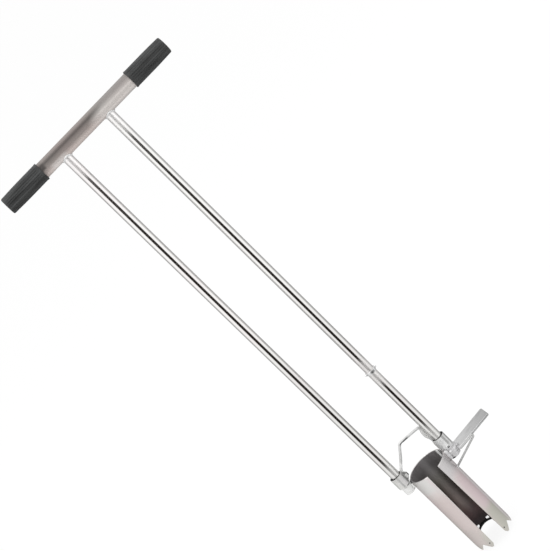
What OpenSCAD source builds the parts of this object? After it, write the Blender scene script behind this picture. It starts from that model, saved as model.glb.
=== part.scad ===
// Long-handled bulb planter: a toothed, slotted cutter tube with two guide sleeves,
// a foot pedal on the right, and a two-legged handle frame that telescopes through the sleeves.
// Z is up, the slot faces -Y, the pedal points along +X, and the tooth tips stand at z = 0.

/* [Cutter tube] */
// Outside diameter of the cutter tube
tube_od = 70; // [62:1:80]
// Wall of the cutter tube
tube_wall = 1.5; // [1.2:0.1:2.5]
// Length of the cutter tube from rim to tooth tips
tube_len = 165.5; // [150:0.5:180]
// Width of the slot down the front
slot_w = 23.5; // [16:0.5:28]
// Number of teeth on each side of the slot
side_teeth = 4; // [3:1:5]
// Angle from the middle of the slot to the first tooth on each side
first_tooth = 28; // [26:1:32]
// Turn of all the teeth toward the pedal, in degrees
tooth_turn = 2.5; // [0:0.5:4]
// Depth of the notches between the teeth
notch_depth = 11; // [8:0.5:16]
// Width of the blunt end of each tooth
tooth_tip_w = 3; // [2:0.5:4]
// Width of the valley between two teeth
valley_w = 1.2; // [0.8:0.2:3]
// Height at which the two tooth flanks beside the slot would meet
front_notch = 22; // [14:1:30]

/* [Liner] */
// Wall of the dark liner inside the tube
liner_wall = 1.2; // [0.8:0.1:2]
// Distance from the rim down to the liner's upper edge
liner_drop = 0.2; // [0.2:0.1:6]
// Distance from the notches up to the liner's lower edge
liner_lift = 0.5; // [0.5:0.5:6]
// Setback of the liner from each edge of the slot
liner_setback = 1; // [0.5:0.25:3]
// Diameter of each rivet's shank
rivet_d = 3; // [2:0.25:4]
// Diameter of each rivet's head
rivet_head_d = 5; // [4.5:0.25:7]
// Height of each rivet's head outside the tube
rivet_head_h = 1.2; // [0.8:0.1:2]
// Angle of each rivet from the middle of the back
rivet_angle = 19; // [12:1:40]
// Height of the rivets above the liner's lower edge
rivet_up = 4.5; // [4:0.5:20]

/* [Guide sleeves] */
// Wall of each guide sleeve
sleeve_wall = 1.4; // [1:0.1:2.5]
// Length of each guide sleeve
sleeve_len = 39; // [36:1:50]
// Height of the sleeve tops above the rim
sleeve_rise = 25; // [22:1:28]
// Distance by which the right sleeve sits lower than the left one
right_drop = 5; // [0:0.5:6]
// Wall of the plastic guide bush inside each sleeve
bush_wall = 1.05; // [0.8:0.05:2]
// Height of the bush flange on top of each sleeve
bush_flange = 2.5; // [1.5:0.5:4]

/* [Clamp screw] */
// Diameter of the clamp screw
clamp_d = 5; // [4:0.5:6]
// Diameter of the boss that the clamp screw turns in
boss_d = 8.4; // [8:0.2:11]
// Height of the boss proud of the sleeve
boss_h = 1.6; // [1:0.2:4]
// Width across the flats of the screw's hexagon socket
socket_w = 2.5; // [2:0.5:3]
// Depth of the screw's hexagon socket
socket_depth = 1.8; // [1:0.2:2]

/* [Foot pedal] */
// Length of the pedal plate
pedal_len = 70; // [50:1:90]
// Width of the pedal plate
pedal_w = 34; // [28:1:44]
// Thickness of the pedal plate
pedal_t = 4; // [3:0.5:6]
// Upward tilt of the pedal, in degrees
pedal_tilt = 4.6; // [0:0.2:8]
// Distance from the right sleeve's lower end up to the band that carries the pedal
band_up = 4; // [2:0.5:8]
// Height of the band that carries the pedal
band_h = 9; // [7:1:13]
// Thickness of the band that carries the pedal
band_t = 1.8; // [1.5:0.1:3]
// Diameter of the brace rod under the pedal
brace_d = 4; // [3:0.5:5]
// Distance along the pedal from its inner end to the brace
brace_reach = 30; // [24:1:45]
// Drop of the brace's foot below the band
brace_drop = 19.5; // [14:0.5:30]
// Side step of the brace's foot in front of the upright's path
brace_side = 11; // [9:0.5:14]

/* [Bow] */
// Diameter of the bow rod
bow_d = 5; // [4:0.5:6]
// Setback of the bow behind the middle of the tube
bow_back = 7; // [6:0.5:8]
// Height of the bow's left corner above the rim
bow_left_h = 57; // [45:0.5:75]
// Height of the bow's right corner above the rim
bow_right_h = 52; // [45:0.5:75]
// Place of the bow's left corner, right of the tube's middle
bow_left_x = -5; // [-20:1:10]
// Height of the block that holds each end of the bow
lug_h = 20; // [14:1:22]
// Width of the block that holds each end of the bow
lug_w = 8; // [8:0.5:10]
// Depth of the block that holds each end of the bow, front to back
lug_depth = 10; // [8:0.5:12]

/* [Handle frame] */
// Height of the crossbar's middle above the tooth tips
handle_h = 918; // [800:1:1000]
// Outside diameter of the uprights
upright_od = 16; // [15:0.5:18]
// Wall of the uprights
upright_wall = 1.5; // [1:0.1:2]
// Outside diameter of the crossbar
bar_od = 26; // [24:0.5:30]
// Wall of the crossbar
bar_wall = 1.5; // [1:0.1:2.5]
// Width over both grips
bar_len = 328; // [290:1:360]
// Shift of the crossbar toward the pedal
bar_shift = 8; // [0:1:12]
// Height of the weld bead below the crossbar
weld_h = 5; // [3:0.5:8]
// Width of the weld bead round each upright
weld_w = 2.5; // [1.5:0.25:4]
// Length of the part of each foot plug inside its upright
plug_in = 10; // [6:1:20]
// Height of the foot plug's rim below its upright
plug_rim = 2; // [1.5:0.5:4]
// Distance from the sleeves' lower ends up to the foot plugs
plug_recess = 3; // [1:0.5:6]

/* [Grips] */
// Length of each grip
grip_len = 72; // [60:1:90]
// Wall of each grip
grip_wall = 2; // [1.5:0.25:4]
// Thickness of each grip's closed end
grip_end = 2; // [1.5:0.25:4]
// Radius of the rounded edge at each grip's closed end
grip_round = 1.8; // [1:0.1:3]
// Number of lengthwise grooves round each grip
groove_count = 24; // [12:1:36]
// Width of each groove
groove_w = 1.2; // [0.8:0.1:1.6]
// Depth of each groove
groove_depth = 0.7; // [0.4:0.1:0.9]
// Plain length left at each end of the grooves
groove_margin = 5; // [3:0.5:10]

/* [Stop] */
// Height of the stop collar
collar_h = 5; // [4:0.5:10]
// Wall of the stop collar
collar_wall = 1.3; // [1:0.1:3]
// Diameter of the pin through the stop collar
stop_pin_d = 3.5; // [2.5:0.25:3.5]
// Length of each pin end outside the collar
stop_pin_out = 1.5; // [1:0.25:4]

/* [Hidden] */
$fn = 96;

// Clearances and seats
slide_gap = 0.05;
screw_gap = 0.05;
screw_tip_gap = 0.3;
weld_bite = 0.2;
weld_groove = 0.8;
press_bite = 0.03;
rivet_sink = 0.1;
bow_gap = 0.5;
bend_swell = 0.15;
bend_hold = 0.8;
stop_gap = 0.5;
tip_margin = 4.5;
cut_over = 1;

// Cutter tube
tube_r = tube_od / 2;
bore_r = tube_r - tube_wall;
tooth_pitch = (180 - 2 * first_tooth) / (side_teeth - 1);
notch_half = tube_r * sin(tooth_pitch / 2) - tooth_tip_w / 2;
end_notch_half = tube_r * sin(first_tooth) - tooth_tip_w / 2;
liner_r = bore_r + press_bite;
liner_bore_r = bore_r - liner_wall;
liner_bottom = notch_depth + liner_lift;
liner_top = tube_len - liner_drop;
rivet_z = liner_bottom + rivet_up;
rivet_seat_r = sqrt(pow(bore_r, 2) - pow(rivet_head_d / 2, 2));

// Guide sleeves and what slides in them
upright_r = upright_od / 2;
collar_r = upright_r + collar_wall;
bush_bore_r = upright_r + slide_gap;
sleeve_bore_r = bush_bore_r + bush_wall;
sleeve_r = sleeve_bore_r + sleeve_wall;
sleeve_seat = 0.5;
sleeve_x = tube_r + sleeve_r - sleeve_seat;
sleeve_top = tube_len + sleeve_rise;
sleeve_bottom = sleeve_top - sleeve_len;
right_top = sleeve_top - right_drop;
right_bottom = sleeve_bottom - right_drop;

// Pedal, its band and brace
band_r = sleeve_r + band_t;
band_bottom = right_bottom + band_up;
band_top = band_bottom + band_h;
pedal_top = band_bottom + pedal_t;
brace_r = brace_d / 2;
brace_y = -(pedal_w / 2 + brace_r - weld_bite);
brace_x = sleeve_x + sleeve_r + brace_reach;
brace_rise = brace_reach * tan(pedal_tilt);
brace_bend_r = 5;
brace_sink = 0.8;
brace_foot_r = tube_r;
brace_foot_angle = -asin(brace_side / brace_foot_r);

// Clamp screw on the front of the right sleeve
clamp_gap = 2.3;
boss_r = boss_d / 2;
clamp_z = band_top + clamp_gap + boss_r;
boss_face = sleeve_r + boss_h;

// Bow and its end blocks
bow_r = bow_d / 2;
lug_x = tube_r - tube_wall * 2;
lug_top = tube_len + lug_h;
lug_hole_depth = 10;
bow_foot_rise = 6;
bow_bend_r = 8;
bow_leg_x = sleeve_x - sqrt(pow(collar_r + bow_r + bow_gap, 2) - pow(bow_back, 2));
bow_leg_z = right_top + bush_flange + bow_d * 2;
bow_route = [
    [-lug_x, lug_top - lug_hole_depth],
    [-lug_x, lug_top + bow_foot_rise],
    [bow_left_x, tube_len + bow_left_h],
    [bow_leg_x, tube_len + bow_right_h],
    [bow_leg_x, bow_leg_z],
    [lug_x, lug_top + bow_r],
    [lug_x, lug_top - lug_hole_depth]
];

// Handle frame, its travel and its stop
upright_bottom = sleeve_bottom + plug_recess + plug_rim;
plug_r = upright_r - upright_wall + press_bite;
slide_travel = sleeve_bottom + plug_recess - tip_margin;
collar_z = right_top + bush_flange + slide_travel + stop_gap;
bar_r = bar_od / 2;
grip_r = bar_r + grip_wall;

// Heading of the run that leaves point i of a flat route, in degrees
function heading(route, i) =
    atan2(route[i + 1][1] - route[i][1], route[i + 1][0] - route[i][0]);

// Turn at point i of a flat route, between -180 and 180 degrees
function turn_at(route, i) =
    let (change = heading(route, i) - heading(route, i - 1))
        change > 180 ? change - 360 : change < -180 ? change + 360 : change;

// Length of a run taken up by the bend at point i, less the run's hold inside that bend
function bend_trim(route, i, bend_r) =
    i == 0 || i == len(route) - 1 ? 0 : bend_r * tan(abs(turn_at(route, i)) / 2) - bend_hold;

// A round rod along a flat route of x and z points, swollen a little at each round bend
module bent_rod(route, d, bend_r) {
    last = len(route) - 1;
    rotate([90, 0, 0]) {
        for (i = [0 : last - 1]) {
            trim = bend_trim(route, i, bend_r);
            run = norm(route[i + 1] - route[i]) - trim - bend_trim(route, i + 1, bend_r);
            translate(route[i])
                rotate([0, 0, heading(route, i)])
                    translate([trim, 0, 0])
                        rotate([0, 90, 0]) cylinder(d = d, h = run);
        }
        for (i = [1 : last - 1]) {
            turn = turn_at(route, i);
            side = sign(turn);
            translate(route[i])
                rotate([0, 0, heading(route, i - 1)])
                    translate([-bend_r * tan(abs(turn) / 2), side * bend_r, 0])
                        rotate([0, 0, side > 0 ? -90 : 90 + turn])
                            rotate_extrude(angle = abs(turn))
                                translate([bend_r, 0]) circle(d = d + 2 * bend_swell);
        }
    }
}

// A straight round tube standing on its lower end
module pipe(outer_r, inner_r, height) {
    difference() {
        cylinder(r = outer_r, h = height);
        translate([0, 0, -cut_over]) cylinder(r = inner_r, h = height + 2 * cut_over);
    }
}

// The outside of the cutter tube, drawn in a little, for cutting weld seats
module tube_seat() {
    translate([0, 0, -cut_over])
        cylinder(r = tube_r - weld_bite, h = sleeve_top + 2 * cut_over);
}

// The outside of the crossbar, drawn in a little, for cutting weld seats
module bar_seat() {
    translate([bar_shift - bar_len / 2, 0, handle_h])
        rotate([0, 90, 0]) cylinder(r = bar_r - weld_bite, h = bar_len);
}

// The front slot, as wide as given, through one wall
module slot_cut(width) {
    translate([-width / 2, -tube_r - cut_over, -cut_over])
        cube([width, tube_r + cut_over, tube_len + 2 * cut_over]);
}

// A round rod along the radius through one rivet, from one radius to another
module rivet_rod(side, from_r, to_r, d) {
    rotate([0, 0, 90 - side * rivet_angle])
        translate([from_r, 0, rivet_z])
            rotate([0, 90, 0]) cylinder(d = d, h = to_r - from_r);
}

// A notch in the lower end of the wall, at an angle from the middle of the slot
module notch(angle, half_w, depth, top_w) {
    rotate([0, 0, angle])
        translate([0, -tube_r / 2, 0])
            rotate([90, 0, 0])
                linear_extrude(height = tube_r)
                    polygon([
                        [-half_w, -cut_over], [-half_w, 0], [-top_w / 2, depth],
                        [top_w / 2, depth], [half_w, 0], [half_w, -cut_over]
                    ]);
}

module cutter_tube() {
    color("gainsboro")
        difference() {
            pipe(tube_r, bore_r, tube_len);
            slot_cut(slot_w);
            // V notches between the teeth of each side
            for (side = [-1, 1])
                for (i = [0 : side_teeth - 2])
                    notch(
                        tooth_turn + side * (first_tooth + tooth_pitch * (i + 0.5)),
                        notch_half, notch_depth, valley_w
                    );
            // The first teeth slope up to the slot, and the last ones stand beside a gap as wide as it
            notch(tooth_turn, end_notch_half, front_notch, valley_w);
            notch(tooth_turn + 180, end_notch_half, notch_depth, slot_w + 2 * liner_setback);
            for (side = [-1, 1])
                rivet_rod(side, bore_r - cut_over, tube_r + cut_over, rivet_d);
        }
}

module tube_liner() {
    color("dimgray")
        difference() {
            translate([0, 0, liner_bottom])
                pipe(liner_r, liner_bore_r, liner_top - liner_bottom);
            slot_cut(slot_w + 2 * liner_setback);
            for (side = [-1, 1])
                rivet_rod(side, liner_bore_r - cut_over, liner_r + cut_over, rivet_head_d);
        }
}

// A rivet with its inner head sunk in the liner and its outer head on the tube
module liner_rivet(side) {
    color("white")
        union() {
            rivet_rod(side, liner_bore_r + rivet_sink, rivet_seat_r, rivet_head_d);
            rivet_rod(side, liner_bore_r + rivet_sink, tube_r, rivet_d);
            rivet_rod(side, tube_r - weld_bite, tube_r + rivet_head_h, rivet_head_d);
        }
}

module liner_rivet_left() {
    liner_rivet(-1);
}

module liner_rivet_right() {
    liner_rivet(1);
}

// The threaded hole for the clamp screw, through the right sleeve and its bush
module clamp_hole() {
    translate([sleeve_x, -upright_r + cut_over, clamp_z])
        rotate([90, 0, 0]) cylinder(r = clamp_d / 2 + screw_gap, h = boss_face);
}

// Lower end of one sleeve
function sleeve_foot(side) = side > 0 ? right_bottom : sleeve_bottom;

module guide_sleeve(side) {
    difference() {
        translate([side * sleeve_x, 0, sleeve_foot(side)]) cylinder(r = sleeve_r, h = sleeve_len);
        translate([side * sleeve_x, 0, sleeve_foot(side) - cut_over])
            cylinder(r = sleeve_bore_r, h = sleeve_len + 2 * cut_over);
        tube_seat_below_rim();
    }
}

// The weld seat on the tube, ending at the rim
module tube_seat_below_rim() {
    intersection() {
        tube_seat();
        cylinder(r = tube_od, h = tube_len);
    }
}

module guide_sleeve_left() {
    color("lightgray") guide_sleeve(-1);
}

module guide_sleeve_right() {
    color("lightgray")
        difference() {
            union() {
                guide_sleeve(1);
                translate([sleeve_x, -sleeve_bore_r - sleeve_wall / 2, clamp_z])
                    rotate([90, 0, 0]) cylinder(r = boss_r, h = boss_face - sleeve_bore_r - sleeve_wall / 2);
            }
            clamp_hole();
        }
}

// A plastic bush that lines a sleeve, with a flange on top
module guide_bush(side) {
    translate([side * sleeve_x, 0, sleeve_foot(side)])
        difference() {
            union() {
                cylinder(r = sleeve_bore_r + press_bite, h = sleeve_len);
                translate([0, 0, sleeve_len]) cylinder(r = sleeve_r, h = bush_flange);
            }
            translate([0, 0, -cut_over])
                cylinder(r = bush_bore_r, h = sleeve_len + bush_flange + 2 * cut_over);
        }
}

module guide_bush_left() {
    color("black") guide_bush(-1);
}

module guide_bush_right() {
    color("black")
        difference() {
            guide_bush(1);
            clamp_hole();
        }
}

// A block on the rim beside a sleeve, drilled for one end of the bow
module bow_lug(side) {
    color("silver")
        difference() {
            translate([side * lug_x - lug_w / 2, bow_back - lug_depth / 2, tube_len])
                cube([lug_w, lug_depth, lug_h]);
            translate([side * sleeve_x, 0, tube_len - cut_over])
                cylinder(r = sleeve_r - weld_bite, h = lug_h + 2 * cut_over);
            translate([side * lug_x, bow_back, lug_top - lug_hole_depth])
                cylinder(r = bow_r - press_bite, h = lug_hole_depth + cut_over);
        }
}

module bow_lug_left() {
    bow_lug(-1);
}

module bow_lug_right() {
    bow_lug(1);
}

module bow_rod() {
    color("silver") translate([0, bow_back, 0]) bent_rod(bow_route, bow_d, bow_bend_r);
}

module pedal_band() {
    color("lightgray")
        difference() {
            translate([sleeve_x, 0, band_bottom]) cylinder(r = band_r, h = band_h);
            translate([sleeve_x, 0, band_bottom - cut_over])
                cylinder(r = sleeve_r - press_bite, h = band_h + 2 * cut_over);
            tube_seat();
        }
}

module foot_pedal() {
    color("darkgray")
        difference() {
            translate([sleeve_x + sleeve_r, 0, pedal_top])
                rotate([0, -pedal_tilt, 0])
                    translate([0, -pedal_w / 2, -pedal_t]) cube([pedal_len, pedal_w, pedal_t]);
            translate([sleeve_x, 0, band_bottom - pedal_t])
                cylinder(r = band_r - weld_bite, h = band_h + 2 * pedal_t);
            // A weld groove keeps the top face clear of the band
            translate([sleeve_x, 0, pedal_top - weld_groove])
                cylinder(r = band_r + weld_groove, h = band_h);
        }
}

module pedal_brace() {
    foot = [brace_foot_r * cos(brace_foot_angle), brace_foot_r * sin(brace_foot_angle)];
    lean = foot - [brace_x, brace_y];
    edge_z = pedal_top + brace_rise;
    color("silver")
        translate([brace_x, brace_y, 0])
            rotate([0, 0, atan2(lean[1], lean[0])])
                bent_rod([
                    [0, edge_z - brace_sink],
                    [0, edge_z - pedal_t - brace_r],
                    [norm(lean), band_bottom - brace_drop]
                ], brace_d, brace_bend_r);
}

module clamp_screw() {
    screw_len = boss_face - upright_r - screw_tip_gap;
    color("dimgray")
        translate([sleeve_x, -boss_face, clamp_z])
            rotate([-90, 0, 0])
                difference() {
                    cylinder(d = clamp_d, h = screw_len);
                    translate([0, 0, -cut_over])
                        cylinder(d = socket_w / cos(30), h = socket_depth + cut_over, $fn = 6);
                }
}

// A hollow leg of the handle frame, cut to fit under the crossbar
module upright(side) {
    difference() {
        translate([side * sleeve_x, 0, upright_bottom])
            pipe(upright_r, upright_r - upright_wall, handle_h - upright_bottom);
        bar_seat();
    }
}

module upright_left() {
    color("gainsboro") upright(-1);
}

// The cross hole for the stop pin, through the right upright and the collar
module stop_pin_rod(reach) {
    translate([sleeve_x - reach, 0, collar_z + collar_h / 2])
        rotate([0, 90, 0]) cylinder(d = stop_pin_d, h = 2 * reach);
}

module upright_right() {
    color("gainsboro")
        difference() {
            upright(1);
            stop_pin_rod(collar_r);
        }
}

// A plug that closes the lower end of an upright
module foot_plug(side) {
    color("black")
        translate([side * sleeve_x, 0, upright_bottom - plug_rim])
            union() {
                cylinder(r = upright_r - slide_gap, h = plug_rim);
                translate([0, 0, plug_rim]) cylinder(r = plug_r, h = plug_in);
            }
}

module foot_plug_left() {
    foot_plug(-1);
}

module foot_plug_right() {
    foot_plug(1);
}

module stop_collar() {
    color("silver")
        difference() {
            translate([sleeve_x, 0, collar_z])
                pipe(collar_r, upright_r - press_bite, collar_h);
            stop_pin_rod(collar_r + cut_over);
        }
}

module stop_pin() {
    color("silver") stop_pin_rod(collar_r + stop_pin_out);
}

module crossbar() {
    color("gainsboro")
        translate([bar_shift - bar_len / 2 + grip_end, 0, handle_h])
            rotate([0, 90, 0]) pipe(bar_r, bar_r - bar_wall, bar_len - 2 * grip_end);
}

// A cone-shaped weld bead round the top of an upright
module upright_weld(side) {
    color("silver")
        difference() {
            translate([side * sleeve_x, 0, handle_h - bar_r - weld_h])
                cylinder(r1 = upright_r, r2 = upright_r + 2 * weld_w, h = 2 * weld_h);
            translate([side * sleeve_x, 0, handle_h - bar_r - weld_h - cut_over])
                cylinder(r = upright_r - press_bite, h = 2 * weld_h + 2 * cut_over);
            bar_seat();
        }
}

module upright_weld_left() {
    upright_weld(-1);
}

module upright_weld_right() {
    upright_weld(1);
}

// A grooved rubber grip pushed over one end of the crossbar
module grip(side) {
    color([0.22, 0.23, 0.23])
        translate([bar_shift + side * bar_len / 2, 0, handle_h])
            rotate([0, -side * 90, 0])
                difference() {
                    rotate_extrude() {
                        translate([0, grip_round]) square([grip_r, grip_len - grip_round]);
                        square([grip_r - grip_round, grip_len]);
                        translate([grip_r - grip_round, grip_round]) circle(r = grip_round);
                    }
                    translate([0, 0, grip_end])
                        cylinder(r = bar_r - press_bite, h = grip_len);
                    for (i = [0 : groove_count - 1])
                        rotate([0, 0, i * 360 / groove_count])
                            translate([grip_r - groove_depth, -groove_w / 2, groove_margin])
                                cube([groove_depth + cut_over, groove_w, grip_len - 2 * groove_margin]);
                }
}

module grip_left() {
    grip(-1);
}

module grip_right() {
    grip(1);
}

cutter_tube();
tube_liner();
liner_rivet_left();
liner_rivet_right();
guide_sleeve_left();
guide_sleeve_right();
guide_bush_left();
guide_bush_right();
bow_lug_left();
bow_lug_right();
bow_rod();
pedal_band();
foot_pedal();
pedal_brace();
clamp_screw();
upright_left();
upright_right();
foot_plug_left();
foot_plug_right();
stop_collar();
stop_pin();
crossbar();
upright_weld_left();
upright_weld_right();
grip_left();
grip_right();
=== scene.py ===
import math
import bmesh
import bpy
import numpy as np
from types import SimpleNamespace as Values
from mathutils import Matrix, Vector


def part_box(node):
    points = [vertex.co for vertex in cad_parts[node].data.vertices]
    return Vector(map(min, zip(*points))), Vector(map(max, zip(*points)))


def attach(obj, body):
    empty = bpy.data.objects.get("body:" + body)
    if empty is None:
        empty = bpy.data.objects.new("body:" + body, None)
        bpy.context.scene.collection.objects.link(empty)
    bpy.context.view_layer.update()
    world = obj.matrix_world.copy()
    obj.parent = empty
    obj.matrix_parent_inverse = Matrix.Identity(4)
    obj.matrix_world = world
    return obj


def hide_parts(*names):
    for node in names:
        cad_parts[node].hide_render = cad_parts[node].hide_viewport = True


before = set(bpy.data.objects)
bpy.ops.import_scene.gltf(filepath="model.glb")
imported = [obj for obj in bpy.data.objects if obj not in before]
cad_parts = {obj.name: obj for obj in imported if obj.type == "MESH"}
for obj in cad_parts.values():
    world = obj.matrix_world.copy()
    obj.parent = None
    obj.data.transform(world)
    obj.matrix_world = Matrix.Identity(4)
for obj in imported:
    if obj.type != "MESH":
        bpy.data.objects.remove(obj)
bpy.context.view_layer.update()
scene = bpy.context.scene
mm = 0.001
print("frame loaded with", len(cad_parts), "nodes")


def addObject(name, data):
    obj = bpy.data.objects.new(name, data)
    scene.collection.objects.link(obj)
    return obj


# camera: the upright tool is turned 45 degrees in the picture
photoView = Values(
    width=550, focal=2002.0, sensor=36.0, elevation=16.45, distance=3.0, aim=(0.0455, 0.0, 0.5561),
    roll=-0.4, yaw=2.2)


def makeCamera(v):
    # look, right and up from the elevation, turned about the view by the roll, then about Z by the yaw
    el, ro = math.radians(v.elevation), math.radians(v.roll)
    look = Vector((0, math.cos(el), -math.sin(el)))
    right, up = Vector((1, 0, 0)), Vector((0, math.sin(el), math.cos(el)))
    right, up = right * math.cos(ro) + up * math.sin(ro), up * math.cos(ro) - right * math.sin(ro)
    turn = Matrix.Rotation(math.radians(-v.yaw), 3, "Z")
    look, right, up = turn @ look, turn @ right, turn @ up
    across, along = (right - up) / math.sqrt(2), (right + up) / math.sqrt(2)
    cam = addObject("camera", bpy.data.cameras.new("camera"))
    place = Matrix((across, along, -look)).transposed().to_4x4()
    place.translation = Vector(v.aim) - look * v.distance
    cam.matrix_world = place
    cam.data.sensor_fit = "HORIZONTAL"
    cam.data.sensor_width = v.sensor
    cam.data.lens = v.sensor * v.focal / v.width
    cam.data.clip_end = 200
    scene.camera = cam


makeCamera(photoView)
scene.view_settings.view_transform = "Standard"
print("camera placed")


def nodeEnd(node, end):
    # height of a CAD node's lowest (0) or highest (1) point, in millimetres
    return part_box(node)[end][2] / mm


def rise(value, start, span):
    # 0 before start, then climbing evenly to 1 over a span
    return np.clip((value - start) / span, 0, 1)


def smooth(value, low, high):
    # 0 below low, 1 above high, an S curve between
    t = rise(value, low, high - low)
    return t * t * (3 - 2 * t)


# shapes: each of these works in millimetres, and the shells are (points, wrapRows, wrapCols, capped)
def roundCorners(points, radius, steps=5, closed=True):
    # each corner gives way to an arc that touches both of its sides
    pts = np.asarray(points, float)
    count = len(pts)
    radii = np.broadcast_to(np.asarray(radius, float), (count,))
    out = []
    for i in range(count):
        if radii[i] <= 0 or (not closed and i in (0, count - 1)):
            out.append(pts[i][None])
            continue
        back, ahead = pts[i - 1] - pts[i], pts[(i + 1) % count] - pts[i]
        backLen, aheadLen = np.linalg.norm(back), np.linalg.norm(ahead)
        u, v = back / backLen, ahead / aheadLen
        half = np.arccos(np.clip(u @ v, -1, 1)) / 2
        if half > np.pi / 2 - 1e-3:
            out.append(pts[i][None])
            continue
        trim = min(radii[i] / np.tan(half), 0.48 * backLen, 0.48 * aheadLen)
        middle = pts[i] + (u + v) / np.linalg.norm(u + v) * trim / np.cos(half)
        p, q = pts[i] + u * trim - middle, pts[i] + v * trim - middle
        sweep, s = np.pi - 2 * half, np.linspace(0, 1, steps + 1)[:, None]
        out.append(middle + (np.sin((1 - s) * sweep) * p + np.sin(s * sweep) * q) / np.sin(sweep))
    return np.concatenate(out)


def resample(path, count):
    # points at even arc length along a polyline
    step = np.linalg.norm(np.diff(path, axis=0), axis=1)
    run = np.concatenate([[0], np.cumsum(step)])
    at = np.linspace(0, run[-1], count)
    return np.stack([np.interp(at, run, path[:, k]) for k in range(path.shape[1])], 1)


def sideways(axis):
    # two directions square to an axis, and the axis at unit length
    a = np.asarray(axis, float) / np.linalg.norm(axis)
    guide = np.array([0, 0, 1.0]) if abs(a[2]) < 0.9 else np.array([1.0, 0, 0])
    e1 = np.cross(guide, a)
    e1 /= np.linalg.norm(e1)
    return e1, np.cross(a, e1), a


def outward(degrees):
    # the direction straight out of the tube at an angle from the front
    a = math.radians(degrees)
    return np.array([math.sin(a), -math.cos(a), 0.0])


def turned(profile, centre=(0, 0, 0), axis=(0, 0, 1), steps=96, closed=True, shape=None):
    # a profile of (radius, height) swung round an axis; shape(angle, height) scales the radius
    p = np.asarray(profile, float)
    e1, e2, a = sideways(axis)
    angle = (np.arange(steps) * 2 * np.pi / steps)[:, None]
    r = p[None, :, 0] * np.ones((steps, 1))
    if shape is not None:
        r = r * shape(angle, p[None, :, 1])
    pts = (np.asarray(centre, float) + (r * np.cos(angle))[..., None] * e1
           + (r * np.sin(angle))[..., None] * e2 + (p[None, :, 1] * np.ones((steps, 1)))[..., None] * a)
    return pts, True, closed, False


def ringSection(inner, outer, low, high, radii, steps=5):
    # a rectangle between two radii and two heights, rounded from its lower inner corner on
    return roundCorners([(inner, low), (outer, low), (outer, high), (inner, high)], radii, steps)


def spun(profile, radii, centre, axis=(0, 0, 1), steps=96, shape=None):
    # a solid turned from a rounded profile that starts and ends on the axis
    return turned(roundCorners(profile, radii, closed=False), centre, axis, steps, False, shape)


def swept(path, wide, thick, guide, steps=20, dome=True):
    # an ellipse carried along a path; thick lies along the guide direction, the ends close in domes
    path = np.asarray(path, float)
    wide, thick = (np.broadcast_to(np.asarray(v, float), len(path)) for v in (wide, thick))
    along = np.gradient(path, axis=0)
    along /= np.linalg.norm(along, axis=1)[:, None]
    if dome:
        q = np.linspace(np.pi / 2, 0, 7)[:-1]
        head = path[0] - along[0] * (np.sin(q) * thick[0])[:, None]
        tail = path[-1] + along[-1] * (np.sin(q[::-1]) * thick[-1])[:, None]
        path = np.concatenate([head, path, tail])
        wide, thick = (np.concatenate([np.cos(q) * v[0], v, np.cos(q[::-1]) * v[-1]]) for v in (wide, thick))
        along = np.concatenate([np.repeat(along[:1], 6, 0), along, np.repeat(along[-1:], 6, 0)])
    side = np.cross(along, np.asarray(guide, float))
    side /= np.linalg.norm(side, axis=1)[:, None]
    lift = np.cross(side, along)
    t = np.arange(steps) * 2 * np.pi / steps
    pts = (path[:, None] + side[:, None] * (wide[:, None] * np.cos(t))[..., None]
           + lift[:, None] * (thick[:, None] * np.sin(t))[..., None])
    return pts, False, True, not dome


def bead(path, size, guide, pitch=2.2, ripple=0.12, seed=0.0, closed=False):
    # a weld: a round section along a path whose size swells once per pitch, with a slower drift
    path = np.asarray(path, float)
    length = np.linalg.norm(np.diff(path, axis=0), axis=1).sum()
    path = resample(path, max(24, int(length / pitch * 8)))
    run = 2 * np.pi * np.linspace(0, length, len(path)) / length
    turns = max(1, round(length / pitch))
    swell = 1 + ripple * np.sin(turns * run + seed) + 0.06 * np.sin(2 * run + 1.7 * seed)
    if not closed:
        return swept(path, size * swell, size * swell, guide, steps=16)
    pts = swept(path[:-1], size * swell[:-1], size * swell[:-1], guide, steps=16, dome=False)[0]
    return pts, True, True, False


def slab(outline, low, high, edge, steps=4):
    # an outline stacked into a plate: rings step in by a quarter circle at the lower and upper edge
    o = np.asarray(outline, float)
    tangent = np.roll(o, -1, 0) - np.roll(o, 1, 0)
    out = np.stack([tangent[:, 1], -tangent[:, 0]], 1)
    out /= np.linalg.norm(out, axis=1)[:, None]
    area = np.sum(o[:, 0] * np.roll(o[:, 1], -1) - np.roll(o[:, 0], -1) * o[:, 1])
    out = out if area > 0 else -out
    q = np.linspace(0, np.pi / 2, steps + 1)
    inset = np.concatenate([edge * (1 - np.sin(q)), edge * (1 - np.sin(q[::-1]))])
    height = np.concatenate([low + edge * (1 - np.cos(q)), high - edge * (1 - np.cos(q[::-1]))])
    flat = o[None] - out[None] * inset[:, None, None]
    pts = np.concatenate([flat, np.broadcast_to(height[:, None, None], flat.shape[:2] + (1,))], 2)
    return pts, False, True, True


def placed(shell, axes, offset=(0, 0, 0)):
    # a slab whose own X, Y and Z become three given directions
    return shell[0] @ np.array(axes, float) + offset, *shell[1:]


def gridFaces(rows, cols, wrapRows=False, wrapCols=False):
    # the four corners of each cell of a grid whose points are numbered row by row
    i, j = np.meshgrid(np.arange(rows if wrapRows else rows - 1),
                       np.arange(cols if wrapCols else cols - 1), indexing="ij")
    i2, j2 = (i + 1) % rows, (j + 1) % cols
    return np.stack([i * cols + j, i2 * cols + j, i2 * cols + j2, i * cols + j2], -1).reshape(-1, 4)


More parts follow.
